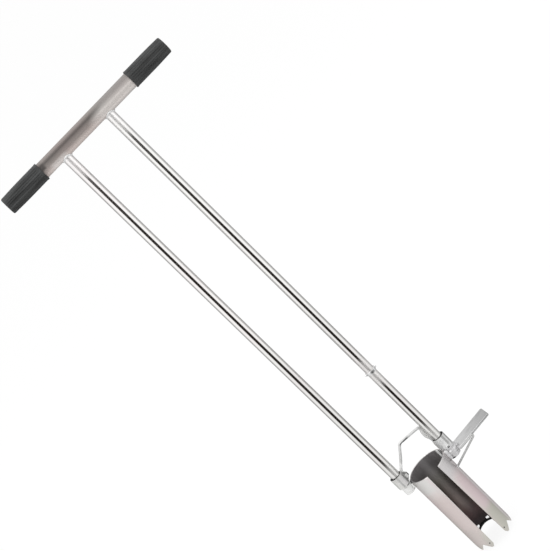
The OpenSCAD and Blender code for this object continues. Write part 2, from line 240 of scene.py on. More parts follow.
def piece(name, shells, finish, nodes=(), body="cutter", crease=38.0):
    # joins the shells into one mesh, merges doubles, turns faces outwards and marks creases
    verts, faces, base = [], [], 0
    for pts, wrapRows, wrapCols, capped in shells:
        rows, cols = pts.shape[:2]
        faces += (gridFaces(rows, cols, wrapRows, wrapCols) + base).tolist()
        if capped:
            faces.append((np.arange(cols)[::-1] + base).tolist())
            faces.append((np.arange(cols) + (rows - 1) * cols + base).tolist())
        verts.append(pts.reshape(-1, 3) * mm)
        base += rows * cols
    mesh = bpy.data.meshes.new(name)
    mesh.from_pydata(np.concatenate(verts).tolist(), [], faces)
    bm = bmesh.new()
    bm.from_mesh(mesh)
    bmesh.ops.remove_doubles(bm, verts=bm.verts, dist=1e-7)
    bmesh.ops.dissolve_degenerate(bm, edges=bm.edges, dist=1e-8)
    bmesh.ops.recalc_face_normals(bm, faces=bm.faces)
    bm.to_mesh(mesh)
    bm.free()
    mesh.polygons.foreach_set("use_smooth", np.ones(len(mesh.polygons), bool))
    mesh.set_sharp_from_angle(angle=math.radians(crease))
    mesh.materials.append(finish)
    obj = addObject(name, mesh)
    obj.modifiers.new("facing", "WEIGHTED_NORMAL").keep_sharp = True
    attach(obj, body)
    if nodes:
        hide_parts(*nodes)


# finishes: node helpers first; a socket or a node leads to its own tree
def addNode(near, kind):
    return near.id_data.nodes.new("ShaderNode" + kind)


def link(source, socket):
    socket.id_data.links.new(source, socket)


def feed(socket, value):
    # a colour or a number goes on the socket itself, anything else is linked to it
    if isinstance(value, tuple):
        socket.default_value = (*value, 1)
    elif isinstance(value, (int, float)):
        socket.default_value = value
    else:
        link(value, socket)


def newFinish(name, **sockets):
    # a Principled material with constant sockets, and the Object coordinates its patterns read
    mat = bpy.data.materials.new(name)
    mat.use_nodes = True
    shader = mat.node_tree.nodes["Principled BSDF"]
    for key, value in sockets.items():
        feed(shader.inputs[key.replace("_", " ")], value)
    return mat, shader, addNode(shader, "TexCoord").outputs["Object"]


def axisValue(coords, axis):
    node = addNode(coords, "SeparateXYZ")
    link(coords, node.inputs[0])
    return node.outputs[axis]


def mathNode(operation, *values):
    # one sum, product or the like of links and numbers, a link first
    node = addNode(values[0], "Math")
    node.operation = operation
    for socket, value in zip(node.inputs, values):
        feed(socket, value)
    return node.outputs[0]


def grain(coords, scale, stretch=(1, 1, 1), detail=3.0, rough=0.5):
    # noise on stretched Object coordinates
    mapping, tex = addNode(coords, "Mapping"), addNode(coords, "TexNoise")
    mapping.inputs["Scale"].default_value = stretch
    link(coords, mapping.inputs["Vector"])
    link(mapping.outputs[0], tex.inputs["Vector"])
    for key, number in (("Scale", scale), ("Detail", detail), ("Roughness", rough)):
        feed(tex.inputs[key], number)
    return tex.outputs["Fac"]


def spread(value, low, high, fromLow=0.3, fromHigh=0.7, curve="LINEAR"):
    # maps a value into a range, held at the ends
    node = addNode(value, "MapRange")
    node.interpolation_type = curve
    for key, number in (("Value", value), ("From Min", fromLow), ("From Max", fromHigh), ("To Min", low),
                        ("To Max", high)):
        feed(node.inputs[key], number)
    return node.outputs["Result"]


def hump(value, middle, core, edge):
    # 1 within core of a middle, falling smoothly to 0 at edge
    away = mathNode("ABSOLUTE", mathNode("SUBTRACT", value, middle))
    return spread(away, 1.0, 0.0, core, edge, "SMOOTHSTEP")


def boxMask(coords, middle, size, core=0.45):
    # 1 in the core of a box and 0 beyond its sides; its middle and half sizes are in millimetres
    mask = 1.0
    for k in range(3):
        part = hump(axisValue(coords, k), middle[k] * mm, core * size[k] * mm, size[k] * mm)
        mask = mathNode("MULTIPLY", part, mask)
    return mask


def ramp(value, stops):
    # colours along a value
    node = addNode(value, "ValToRGB")
    marks = node.color_ramp.elements
    while len(marks) < len(stops):
        marks.new(0.5)
    for mark, (at, colour) in zip(marks, stops):
        mark.position = at
        mark.color = (*colour, 1)
    link(value, node.inputs["Fac"])
    return node.outputs["Color"]


def blendColour(factor, one, two, mode="MIX"):
    node = addNode(one, "Mix")
    node.data_type = "RGBA"
    node.blend_type = mode
    for at, value in ((0, factor), (6, one), (7, two)):
        feed(node.inputs[at], value)
    return node.outputs[2]


def tinted(tone, tint):
    return blendColour(1.0, tone, tint, "MULTIPLY")


def relief(shader, height, strength, distance):
    node = addNode(shader, "Bump")
    for key, value in (("Strength", strength), ("Distance", distance), ("Height", height)):
        feed(node.inputs[key], value)
    link(node.outputs["Normal"], shader.inputs["Normal"])


def grey(level):
    return (level,) * 3


def greys(*stops):
    # neutral stops for a ramp, from (place, level)
    return [(at, grey(level)) for at, level in stops]


def paintedReflectionTone(coords, look):
    # painted reflection: tones by the angle round a tube along X, up from the front, going over from a left
    # to a right set, standing in for the light and dark that the satin tube mirrors
    x, y, z = (axisValue(coords, k) for k in range(3))
    turn = mathNode("ARCTAN2", mathNode("SUBTRACT", z, look.axisZ), mathNode("MULTIPLY", y, -1.0))
    place = spread(turn, 0.0, 1.0, -math.pi, math.pi)
    sides = []
    for levels, tint in (look.left, look.right):
        sides.append(ramp(place, [((at + 180) / 360, tuple(level * np.array(tint)))
                                  for at, level in zip(look.angles, levels)]))
    lean = spread(turn, 0.0, -60 * look.lean, 0.0, math.radians(60))
    share = spread(mathNode("ADD", x, lean), 0.0, 1.0, *look.turnOver)
    return blendColour(share, *sides)


# satin steels: drift is (axis, start, end) for the tones, a spot of painted shade or light is (middle, half
# sizes, colour) in mm, and a hazy zone is (middle, core, edge, roughness, right side only) up the piece
steelDefaults = {"metal": 1.0, "smear": (1, 1, 1), "streak": 0.05, "uneven": 0.08, "tube": None, "spots": (),
                 "haze": (), "tints": greys((0.3, 1.0), (0.5, 0.97), (0.7, 0.9))}


def satinSteel(name, **given):
    # ground steel: colours that drift along an axis, slow tints, long scratches, spots of painted shade and
    # light, uneven gloss and haze
    look = Values(**{**steelDefaults, **given})
    mat, shader, coords = newFinish(name, Metallic=look.metal, Specular_Tint=look.edge)
    axis, start, end = look.drift
    tone = ramp(spread(axisValue(coords, axis), 0.0, 1.0, start, end), look.tones)
    # painted reflection: the colour changes with the angle round the tube's axis
    if look.tube:
        tone = tinted(tone, paintedReflectionTone(coords, look.tube))
    blotch = grain(coords, look.blotch, look.smear, detail=2.0)
    tone = tinted(tone, ramp(blotch, look.tints))
    scratch = grain(coords, 1.0, look.brush, detail=4.0, rough=0.6)
    tone = tinted(tone, spread(scratch, 1 - look.streak, 1.0, 0.35, 0.65))
    # spots of painted shade and painted highlight, each laid over the colour in its box
    for middle, size, colour in look.spots:
        tone = blendColour(boxMask(coords, middle, size), tone, colour)
    link(tone, shader.inputs["Base Color"])
    gloss = mathNode("ADD", spread(scratch, *look.gloss),
                     spread(grain(coords, look.blotch * 3), 0.0, look.uneven))
    for middle, core, edge, amount, rightOnly in look.haze:
        zone = hump(axisValue(coords, 2), middle, core, edge)
        if rightOnly:
            onRight = spread(axisValue(coords, 0), 0.0, 1.0, -0.01, 0.01)
            zone = mathNode("MULTIPLY", zone, onRight)
        gloss = mathNode("ADD", gloss, spread(zone, 0.0, amount, 0.0, 1.0))
    link(gloss, shader.inputs["Roughness"])
    relief(shader, scratch, look.bump, 0.00015)
    return mat


cutterSteel = satinSteel(
    "cutterSteel", edge=(0.62, 0.6, 0.6), drift=(2, 0.0, 0.166), blotch=30.0, smear=(1, 1, 0.4),
    tones=((0.0, (0.54, 0.525, 0.49)), (0.27, (0.61, 0.585, 0.555)), (0.6, (0.67, 0.62, 0.61)),
           (0.85, (0.74, 0.71, 0.7)), (1.0, (0.81, 0.8, 0.79))),
    tints=((0.36, (0.985, 1.0, 0.96)), (0.5, (1.0, 0.985, 0.975)), (0.64, (1.0, 0.94, 0.95))),
    brush=(700, 700, 40), gloss=(0.27, 0.34), bump=0.03,
    # cutterSteel is darker towards the bottom; its spots are painted shade with a pink tint on the walls, a
    # painted shadow at the rim's left tip, and painted highlights along the right edge and the slot's left
    # edge
    spots=(((-35, 3, 165.5), (3.2, 14, 3), grey(0.05)),
           ((-24, -26, 82), (17, 18, 62), (0.645, 0.57, 0.555)),
           ((-30, -20, 30), (12, 18, 26), (0.6, 0.545, 0.525)),
           ((20, -28, 150), (18, 20, 26), (0.62, 0.6, 0.6)),
           ((27, -21, 92), (17, 18, 56), (0.655, 0.555, 0.565)),
           ((26, -22, 30), (18, 18, 34), (0.53, 0.52, 0.465)),
           ((34, -8, 85), (5, 14, 110), (0.78, 0.74, 0.74)),
           ((-28, -22, 154), (16, 22, 22), (0.7, 0.69, 0.675)),
           ((-12, -32.6, 90), (1.3, 6, 180), (0.82, 0.79, 0.77))))
# barSteel: painted reflection round the bar, a dark streak over the upper front and lighter below; painted
# shadow darkens the left end and a spot by the left grip, and a painted highlight lies by the left weld
barSteel = satinSteel(
    "barSteel", edge=(0.67, 0.64, 0.63), drift=(0, -0.09, 0.1), blotch=30.0, smear=(0.5, 1, 1), metal=0.3,
    tones=greys((0.0, 0.6), (0.08, 1.0)),
    tints=((0.3, (0.98, 1.0, 0.99)), (0.5, (1.0, 0.99, 0.985)), (0.7, (1.0, 0.95, 0.95))),
    tube=Values(
        axisZ=0.918, lean=0.00028, turnOver=(0.009, 0.036),
        angles=(-180, -50, -20, -10, -3, 5, 18, 32, 54, 83, 180),
        left=((0.34, 0.49, 0.48, 0.39, 0.28, 0.225, 0.168, 0.088, 0.175, 0.24, 0.34), (1.0, 0.88, 0.83)),
        right=((0.34, 0.49, 0.61, 0.615, 0.595, 0.555, 0.39, 0.3, 0.2, 0.22, 0.34), (1.0, 0.93, 0.895))),
    brush=(40, 900, 900), gloss=(0.26, 0.31), uneven=0.04, bump=0.03,
    spots=(((-83, -11, 923), (10, 14, 6), (0.06, 0.054, 0.051)),
           ((-55, -10, 909.5), (20, 12, 9), (0.56, 0.52, 0.5))))
uprightSteel = satinSteel(
    "uprightSteel", edge=grey(0.55), drift=(2, 0.15, 0.92), blotch=9.0,
    tones=((0.0, (0.8, 0.8, 0.785)), (0.35, (0.86, 0.855, 0.845)), (0.55, (0.96, 0.955, 0.945)),
           (1.0, (0.985, 0.98, 0.975))),
    tints=((0.3, (1.0, 1.0, 0.985)), (0.5, (1.0, 0.99, 0.985)), (0.7, (1.0, 0.955, 0.96))),
    brush=(200, 200, 6), streak=0.02, gloss=(0.105, 0.115), uneven=0.01, bump=0.003,
    haze=((0.93, 0.046, 0.075, 0.2, False), (0.341, 0.014, 0.04, 0.32, True),
          (0.18, 0.02, 0.05, 0.16, False)))
sleeveZinc = satinSteel(
    "sleeveZinc", edge=grey(0.7), drift=(2, 0.143, 0.19), blotch=150.0, metal=0.45,
    tones=((0.4, (0.6, 0.595, 0.6)), (0.55, (0.74, 0.74, 0.735))),
    tints=greys((0.32, 1.0), (0.5, 0.95), (0.68, 0.86)),
    brush=grey(260), gloss=(0.34, 0.46), bump=0.012,
    # painted shade down the sleeve's right edge and a grey band on its front, and a near-black painted shadow
    # under its lower end
    spots=(((54.9, 0, 176), (2.6, 14, 16), (0.36, 0.36, 0.355)),
           ((49, -9.5, 178), (2.6, 8, 14), (0.36, 0.36, 0.355)),
           ((39.4, -9.2, 144.6), (3.6, 4.6, 2.2), grey(0.012))))
# litZinc: the zinc made paler and less metallic for the light falling on the left sleeve and the bow lugs;
# its spots are painted shade on the collar, the sleeve's sides and round the gusset, a painted highlight on
# the gusset, and a painted shadow under the collar
litZinc = satinSteel(
    "litZinc", edge=grey(0.8), drift=(2, 0.15, 0.19), blotch=150.0, metal=0.3,
    tones=((0.0, (0.8, 0.8, 0.795)), (0.42, (0.72, 0.72, 0.715)), (0.55, (0.62, 0.615, 0.6)),
           (1.0, (0.58, 0.575, 0.565))),
    tints=((0.32, grey(1.0)), (0.5, (0.96, 0.96, 0.955)), (0.68, (0.88, 0.88, 0.87))),
    brush=grey(260), streak=0.04, gloss=(0.4, 0.52), bump=0.012,
    spots=(((-46.2, -9.5, 180.5), (2.2, 8, 15), (0.4, 0.4, 0.395)),
           ((-40, -8.5, 179), (4.5, 6, 14), (0.56, 0.55, 0.55)),
           ((-30.5, 6, 178), (7, 9, 14), (0.24, 0.24, 0.235)),
           ((-31.6, 4, 177), (3, 9, 5), (0.8, 0.8, 0.79)),
           ((-28, 6, 178.2), (2.2, 9, 3.6), grey(0.05)),
           ((-36, -4, 180), (1.9, 9, 13), (0.25, 0.25, 0.245)),
           ((-54.8, 0, 181), (1.5, 9, 12), (0.44, 0.45, 0.43)),
           ((-39.6, -8.8, 169.8), (4.2, 4.6, 1.4), grey(0.1))))
# tabZinc: painted highlight, a light band across the strip near its end, with painted shade over the rest
tabZinc = satinSteel(
    "tabZinc", edge=grey(0.6), drift=(0, 0.0266, 0.0339), blotch=200.0, metal=0.15,
    tones=((0.0, (0.3, 0.3, 0.295)), (0.12, (0.95, 0.95, 0.94)), (0.36, (0.92, 0.92, 0.91)),
           (0.5, (0.24, 0.235, 0.23)), (1.0, (0.2, 0.195, 0.19))),
    tints=greys((0.32, 1.0), (0.5, 0.9), (0.68, 0.7)),
    brush=grey(400), gloss=(0.45, 0.6), bump=0.01)
pedalZinc = satinSteel(
    "pedalZinc", edge=grey(0.6), drift=(0, 0.056, 0.126), blotch=90.0, smear=(0.6, 1, 1),
    tones=greys((0.0, 0.7), (0.5, 0.55), (1.0, 0.46)),
    brush=(90, 600, 600), streak=0.06, gloss=(0.34, 0.48), uneven=0.1, bump=0.06)
# rodSteel is darker towards the bottom; its spots are painted highlights on the bow's left leg and leaf, and
# painted shade under the bow's top
rodSteel = satinSteel(
    "rodSteel", edge=grey(0.45), drift=(2, 0.12, 0.225), blotch=120.0, metal=0.6,
    tones=((0.0, (0.34, 0.34, 0.335)), (0.14, (0.38, 0.38, 0.375)), (0.26, (0.47, 0.47, 0.465)),
           (0.6, (0.57, 0.57, 0.565)), (1.0, (0.7, 0.7, 0.695))),
    brush=grey(200), streak=0.04, gloss=(0.48, 0.56), uneven=0.06, bump=0.006,
    spots=(((-31, 7, 191), (10, 9, 11), (0.86, 0.86, 0.855)),
           ((34, 8, 200), (8, 9, 17), (0.72, 0.72, 0.71)),
           ((3, 7, 218.4), (11.5, 9, 3.6), grey(0.1))))
fastenerSteel = satinSteel(
    "fastenerSteel", edge=grey(0.6), drift=(2, 0.0, 0.4), blotch=200.0, metal=0.85,
    tones=greys((0.0, 0.88), (1.0, 0.82)),
    brush=grey(400), streak=0.06, gloss=(0.24, 0.34), uneven=0.06, bump=0.02,
    # a painted dark reflection on the front of the stop collar
    spots=(((46, -9, 340.6), (4, 4, 3.6), grey(0.26)),))
rivetSteel = satinSteel(
    "rivetSteel", edge=grey(0.9), drift=(2, 0.013, 0.019), blotch=200.0,
    tones=greys((0.0, 0.97), (1.0, 0.98)), tints=greys((0.3, 1.0), (0.7, 0.96)),
    brush=grey(400), streak=0.03, gloss=(0.08, 0.14), uneven=0.03, bump=0.01)


def makeWeldSteel():
    # a plated weld: coarse lumps, dull hollows and bright crowns
    mat, shader, coords = newFinish("weldSteel", Metallic=0.9)
    lumps = grain(coords, 420.0, detail=4.0, rough=0.6)
    tones = ramp(lumps, greys((0.35, 0.42), (0.5, 0.74), (0.65, 0.86)))
    link(tones, shader.inputs["Base Color"])
    link(spread(lumps, 0.55, 0.28), shader.inputs["Roughness"])
    relief(shader, lumps, 0.5, 0.0004)
    return mat


# dark finishes: the tones run over the span of heights, the band is a painted highlight, a lighter patch,
# (middle, core, edge) along X (0) and Z (2) in mm, and dull is (least sheen, and the heights it grows
# between)
darkDefaults = {"stretch": (1, 1, 1), "rough": 0.5, "band": None, "dull": None}


def darkFinish(name, **given):
    # moulded black: fine grain in the gloss, slow blotches and a drift of colour up the piece
    look = Values(**{**darkDefaults, **given})
    mat, shader, coords = newFinish(name, Specular_IOR_Level=look.sheen)
    up = axisValue(coords, 2)
    tone = ramp(spread(up, 0.0, 1.0, *look.span), look.tones)
    blotch = grain(coords, look.blotch, look.stretch, detail=5.0, rough=look.rough)
    tone = tinted(tone, spread(blotch, *look.shade))
    # painted highlight: the band lifts the colour in a patch
    if look.band:
        zone = mathNode("MULTIPLY", *(
            hump(axisValue(coords, k), *(v * mm for v in look.band[k])) for k in (0, 2)))
        tone = tinted(tone, spread(zone, 1.0, look.band["lift"], 0.0, 1.0))
    if look.dull:
        least, low, high = look.dull
        sheen = spread(up, least, look.sheen, low, high)
        link(sheen, shader.inputs["Specular IOR Level"])
    link(tone, shader.inputs["Base Color"])
    fine = grain(coords, look.fine)
    link(spread(fine, *look.gloss), shader.inputs["Roughness"])
    relief(shader, fine, look.bump, 0.0002)
    return mat


weldSteel = makeWeldSteel()
# linerBlack: painted shade, the colour darkening towards the bottom, with the band as a painted highlight
# streak down the middle of the back wall
linerBlack = darkFinish(
    "linerBlack", sheen=1.0, span=(0.0, 0.165), blotch=55.0, stretch=(1, 1, 0.35), shade=(0.72, 1.25),
    rough=0.75, fine=900.0, gloss=(0.3, 0.42), bump=0.06, dull=(0.25, 0.028, 0.062),
    tones=((0.0, (0.012, 0.009, 0.01)), (0.15, (0.03, 0.016, 0.018)), (0.24, (0.085, 0.038, 0.038)),
           (0.36, (0.095, 0.066, 0.058)), (0.6, (0.076, 0.06, 0.052)), (0.72, (0.066, 0.06, 0.05)),
           (0.9, (0.12, 0.112, 0.112)), (1.0, (0.165, 0.155, 0.157))),
    band={0: (-2.0, 1.0, 13.0), 2: (95.0, 20.0, 60.0), "lift": 3.0})
bushPlastic = darkFinish(
    "bushPlastic", sheen=0.15, span=(0.15, 0.2), blotch=300.0, shade=(0.8, 1.2),
    tones=greys((0.0, 0.006), (1.0, 0.008)), fine=2500.0, gloss=(0.4, 0.6), bump=0.15)
gripRubber = darkFinish(
    "gripRubber", sheen=0.4, span=(0.9, 0.935), blotch=150.0, stretch=(0.12, 1, 1), shade=(0.35, 1.65),
    fine=1800.0, gloss=(0.5, 0.68), bump=0.1,
    tones=((0.0, (0.022, 0.023, 0.023)), (1.0, (0.028, 0.029, 0.029))))
screwBlack = darkFinish(
    "screwBlack", sheen=0.5, span=(0.15, 0.18), blotch=700.0, shade=(0.7, 1.3),
    fine=3000.0, gloss=(0.3, 0.5), bump=0.1,
    tones=((0.0, (0.03, 0.03, 0.032)), (1.0, (0.034, 0.034, 0.036))))
print("finishes made")

# cutter tube: wall with ground teeth, four a side, and an open slot at the front that widens downwards
cutter = Values(
    radius=35.0, wall=1.5, top=nodeEnd("cutter_tube", 1), slot=22.2, grow=3.7, growPower=1.6, aside=-0.6,
    teeth=4, firstTooth=27.0, turn=0.3, lift=2.4, notch=10.5, tip=3.0, valley=1.2, frontNotch=22.0,
    backGap=28.2, grind=2.6, edge=0.45, rim=0.5, steps=288)


def toothCuts(c):
    # (centre angle, half width at the tips, depth, half width at the top) of each cut
    pitch = (180 - 2 * c.firstTooth) / (c.teeth - 1)
    half = c.radius * math.sin(math.radians(pitch / 2)) - c.tip / 2
    endHalf = c.radius * math.sin(math.radians(c.firstTooth)) - c.tip / 2
    mids = c.firstTooth + pitch * (np.arange(c.teeth - 1) + 0.5)
    cuts = [(0, endHalf, c.frontNotch, c.valley / 2), (180, endHalf, c.notch, c.backGap / 2)]
    cuts += [(side * m, half, c.notch, c.valley / 2) for m in mids for side in (-1, 1)]
    return [(centre + c.turn, h, d, t) for centre, h, d, t in cuts]


def toothLine(angle):
    # lowest point of the wall at an angle from the front, in degrees: the highest V cut there
    low = np.zeros_like(angle)
    for centre, half, depth, top in toothCuts(cutter):
        swing = np.radians(angle - centre)
        across = np.where(np.cos(swing) > 0, np.abs(cutter.radius * np.sin(swing)), 1e3)
        low = np.maximum(low, depth * rise(half - across, 0, half - top))
    return cutter.lift + low


def wallAngles(c):
    # even steps plus the exact corners of every tooth
    marks = [centre + s * math.degrees(math.asin(w / c.radius))
             for centre, half, depth, top in toothCuts(c) for w in (half, top) for s in (-1, 1)]
    start = math.degrees(math.asin(c.slot / 2 / c.radius))
    angles = np.sort(np.concatenate([np.linspace(start, 360 - start, c.steps), np.mod(marks, 360)]))
    angles = angles[(angles >= start) & (angles <= 360 - start)]
    return angles[np.concatenate([[True], np.diff(angles) > 0.02])]


def slottedWall(w, low, angles, ease=0.35):
    # a wall section (inset, height) carried round from one slot edge to the other, eased off at both
    radius, wall, top, rim = w.radius, w.wall, w.top, w.rim
    start = np.degrees(np.arcsin(w.slot / 2 / radius))
    share = (angles - start) / (360 - 2 * start)
    q = np.linspace(0, np.pi / 2, 4)[:-1]
    lead = ease * (1 - np.cos(q)) / (2 * np.pi * radius)
    inner = (share > lead[-1] * 1.3) & (share < 1 - lead[-1] * 1.3)
    share = np.concatenate([lead, share[inner], 1 - lead[::-1]])
    thin = np.ones(len(share))
    thin[:3] = 1 - 2 * ease * (1 - np.sin(q)) / wall
    thin[-3:] = thin[:3][::-1]
    foot = low(start + share * (360 - 2 * start))[:, None]
    climb = np.linspace(0, 1, 9)[None]
    up = foot + w.grind + (top - rim - foot - w.grind) * climb
    down = (foot + 0.3) + (top - rim - foot - 0.3) * climb[:, ::-1]
    flat = np.ones((len(share), 1))
    rimInset = [[0.13 * rim, 0.5 * rim, wall - 0.5 * rim, wall - 0.13 * rim]]
    inset = np.concatenate([flat * (wall - w.edge), 0 * up, flat * rimInset, 0 * down + wall,
                            flat * (wall - 0.12)], 1)
    rimHeight = [[top - 0.5 * rim, top, top, top - 0.5 * rim]]
    height = np.concatenate([foot, up, flat * rimHeight, down, foot], 1)
    r = radius - (wall / 2 + (inset - wall / 2) * thin[:, None])
    widened = cutter.grow * (1 - rise(height, 0, cutter.top) ** cutter.growPower)
    begin = np.arcsin(np.clip((w.slot + widened) / 2 / r, -1, 1))
    a = begin + share[:, None] * (2 * np.pi - 2 * begin) + math.radians(cutter.aside)
    return np.stack([r * np.sin(a), -r * np.cos(a), height], -1), False, True, True


tubeWall = slottedWall(cutter, toothLine, wallAngles(cutter))
piece("cutterTube", [tubeWall], cutterSteel, ["cutter_tube"], crease=30)

# liner: a dark sleeve with a thicker hem at the back of its lower end
liner = Values(
    radius=33.47, wall=1.17, slot=24.2, bottom=nodeEnd("tube_liner", 0),
    top=nodeEnd("tube_liner", 1) + 0.15, grind=0.4, edge=0.9, rim=0.4, hem=4.8, hemDrop=2.7, hemThick=0.8,
    hemRadius=32.0, hemTurn=25.0, arch=2.3, archHalf=13.0, clear=2.2, clearSoft=5.0)


def hemRise(degrees):
    # the lower end arches up at the back: a parabola either side of the middle
    a = np.radians(degrees)
    across = liner.hemRadius * np.sin(a) / liner.archHalf
    return liner.arch * np.clip(1 - across ** 2, 0, 1) * (np.cos(a) < 0)


def linerFoot(degrees):
    # lower end of the liner: the arch at the back, and clear of the tooth notches elsewhere
    beyond = rise(np.abs(degrees - 180), liner.hemTurn, liner.clearSoft)
    return liner.bottom + hemRise(degrees) + liner.clear * beyond


def hemBead():
    # a flat oval section carried round the back of the liner's foot
    turn = np.linspace(180 - liner.hemTurn, 180 + liner.hemTurn, 80)
    a, r, middle = np.radians(turn), liner.hemRadius, liner.bottom - liner.hemDrop + liner.hem / 2
    path = np.stack([r * np.sin(a), -r * np.cos(a), hemRise(turn) + middle], 1)
    return swept(path, liner.hemThick, liner.hem / 2, (0, 0, 1), steps=16)


linerWall = slottedWall(liner, linerFoot, np.linspace(22, 338, 241))
piece("tubeLiner", [linerWall], linerBlack, ["tube_liner"])
piece("linerHem", [hemBead()], bushPlastic)

# liner rivets: flat square-ish head inside, low dome outside
rivet = Values(
    turn=19.0, z=16.0, shank=1.4, deep=3.2, head=2.5, seat=0.05, rim=0.5, proud=1.2, outer=35.0, inside=2.6,
    sunk=0.4, tall=0.5, inner=32.18)
rivetDome = [(0, -rivet.deep), (rivet.shank, -rivet.deep), (rivet.shank, -rivet.seat),
             (rivet.head, -rivet.seat), (rivet.head, rivet.rim), (rivet.shank, rivet.proud), (0, rivet.proud)]
rivetInside = [(0, rivet.sunk), (rivet.inside, rivet.sunk), (rivet.inside, -rivet.tall), (0, -rivet.tall)]


def squarish(angle, height):
    # scales a circle toward a square, by the sixth-power rule
    return (np.abs(np.cos(angle)) ** 6 + np.abs(np.sin(angle)) ** 6) ** (-1 / 6)


bothSides = ((-1, "left"), (1, "right"))
for side, word in bothSides:
    out, lift = outward(180 - side * rivet.turn), np.array([0, 0, rivet.z])
    piece("linerRivet." + word, [
        spun(rivetDome, (0, 0, 0, 0.1, 0.3, 0.8, 0), out * rivet.outer + lift, out, 40),
        spun(rivetInside, (0, 0, 0.25, 0), out * rivet.inner + lift, out, 40, squarish),
    ], rivetSteel, ["liner_rivet_" + word])

# painted shade: a small dark pin set flush in each front tooth stands in for the shade on the tooth, at an
# angle from the front and a height
mark = Values(left=(-30.5, 11.4), right=(26.6, 12.6), radius=1.3, proud=0.15, deep=0.8)
shadeDotHead = [(0, -mark.deep), (mark.radius, -mark.deep), (mark.radius, mark.proud), (0, mark.proud - 0.1)]
for word, (turn, z) in (("left", mark.left), ("right", mark.right)):
    out = outward(turn)
    pin = spun(shadeDotHead, (0, 0, 0.12, 0), out * cutter.radius + [0, 0, z], out, 32)
    piece("toothShadeDot." + word, [pin], screwBlack)
print("cutter made")

# guide sleeves: each holds a bush sunk below its lip and is welded to the tube; the left one has a neck
sleeve = Values(
    x=44.2, off=0.8, radius=10.5, bore=9.1, round=0.3, neck=8.8, neckBore=8.2, step=169.6, shoulder=171.1,
    seat=1.9, sunk=1.1, flange=10.15, play=0.04, spigot=9.05, bushBore=8.06, bushLong=13.0, backWeld=1.9,
    weldLift=2.5)
# weldAt is how far the welds run from the tube's axis and from the sleeve's
# the left sleeve takes the zinc painted paler for the light on it
sleeveSides = {
    "left": Values(side=-1, lip=0.9, drop=-3.4, weld=1.9, weldAt=(36.6, 10.2), finish=litZinc),
    "right": Values(side=1, lip=1.0, drop=2.6, weld=3.6, weldAt=(37.0, 12.5), finish=sleeveZinc)}


def offCentre(profile, side):
    # moves points beyond the bore outwards along X: the upright stands nearer the tube than its sleeve
    wide = (profile[None, :, 0] > 9.5) / profile[None, :, 0]
    return lambda angle, h: 1 + side * sleeve.off * np.sin(angle) * wide


def sleeveFoot(s, word, low):
    # corners of the wall's lower end and their radii: a stepped neck on the left, a plain end on the right
    if word == "right":
        return [(s.bore, low), (s.radius, low)], [0.3, 2.4]
    return [(s.bore, s.shoulder), (s.neckBore, s.shoulder), (s.neckBore, low),
            (s.neck, low), (s.neck, s.step), (s.radius, s.step)], [0, 0, 0.2, 1.6, 0.3, 0.7]


def makeSleeve(s, word, own):
    node, side = "guide_sleeve_" + word, own.side
    where = (side * s.x, 0, 0)
    low, top = nodeEnd(node, 0) - own.drop, nodeEnd(node, 1) + own.lip
    seat, face, bottom = top - s.seat, top - s.sunk, top - s.bushLong
    foot, rounds = sleeveFoot(s, word, low)
    mouth = s.flange + s.play
    wall = roundCorners(foot + [(s.radius, top), (mouth, top), (mouth, seat), (s.bore, seat)],
                        rounds + [s.round, 0, 0, 0])
    piece("guideSleeve." + word, [turned(wall, where, shape=offCentre(wall, side))], own.finish, [node])
    ring = roundCorners([(s.bushBore, bottom), (s.spigot, bottom), (s.spigot, seat + 0.02),
                         (s.flange, seat + 0.02), (s.flange, face), (s.bushBore, face)],
                        (0.2, 0.2, 0, 0, 0.1, 0.2))
    piece("guideBush." + word, [turned(ring, where, shape=offCentre(ring, side))], bushPlastic,
          ["guide_bush_" + word])
    reach, span = own.weldAt
    wx = (reach ** 2 - span ** 2 + s.x ** 2) / (2 * s.x)
    wy = math.sqrt(reach ** 2 - wx ** 2)
    welds = []
    for y, size in ((-wy, own.weld), (wy, s.backWeld)):
        ends = [(side * wx, y, low + s.weldLift + size), (side * wx, y, cutter.top - size)]
        welds.append(bead(ends, size, (1, 0, 0), seed=y, ripple=0.05))
    piece("sleeveWeld." + word, welds, own.finish)


for word, own in sleeveSides.items():
    makeSleeve(sleeve, word, own)

# clamp screw: socket grub screw in a low round boss on the right sleeve
clamp = Values(
    x=45.0, z=166.0, face=-12.1, boss=4.0, bossDeep=3.0, hole=1.9, proud=0.35, screw=1.8, long=5.5,
    socket=1.1, depth=2.0)
bossWall = ringSection(clamp.hole, clamp.boss, -clamp.bossDeep, 0.0, (0, 0, 1.4, 0.2))
piece("clampBoss", [turned(bossWall, (clamp.x, clamp.face, clamp.z), (0, -1, 0), 64)], sleeveZinc)
screwSide = roundCorners([(0, -clamp.long), (clamp.screw, -clamp.long), (clamp.screw, 0.0),
                          (clamp.socket, 0.0), (clamp.socket, -clamp.depth),
                          (0, -clamp.depth - 0.5)], (0, 0.3, 0.4, 0.1, 0.1, 0), closed=False)


def hexSocket(angle, height):
    # the socket's circle pushed out to a hexagon, the rest of the screw left round
    hexagon = 1 / np.cos(np.mod(angle + np.pi / 6, np.pi / 3) - np.pi / 6)
    return np.where((screwSide[None, :, 0] < clamp.socket + 0.2) & (height > -3), hexagon, 1.0)


screwAt = (clamp.x, clamp.face + clamp.proud, clamp.z)
piece("clampScrew", [turned(screwSide, screwAt, (0, -1, 0), 72, False, hexSocket)], screwBlack,
      ["clamp_screw"], "clamp_screw")
print("sleeves made")

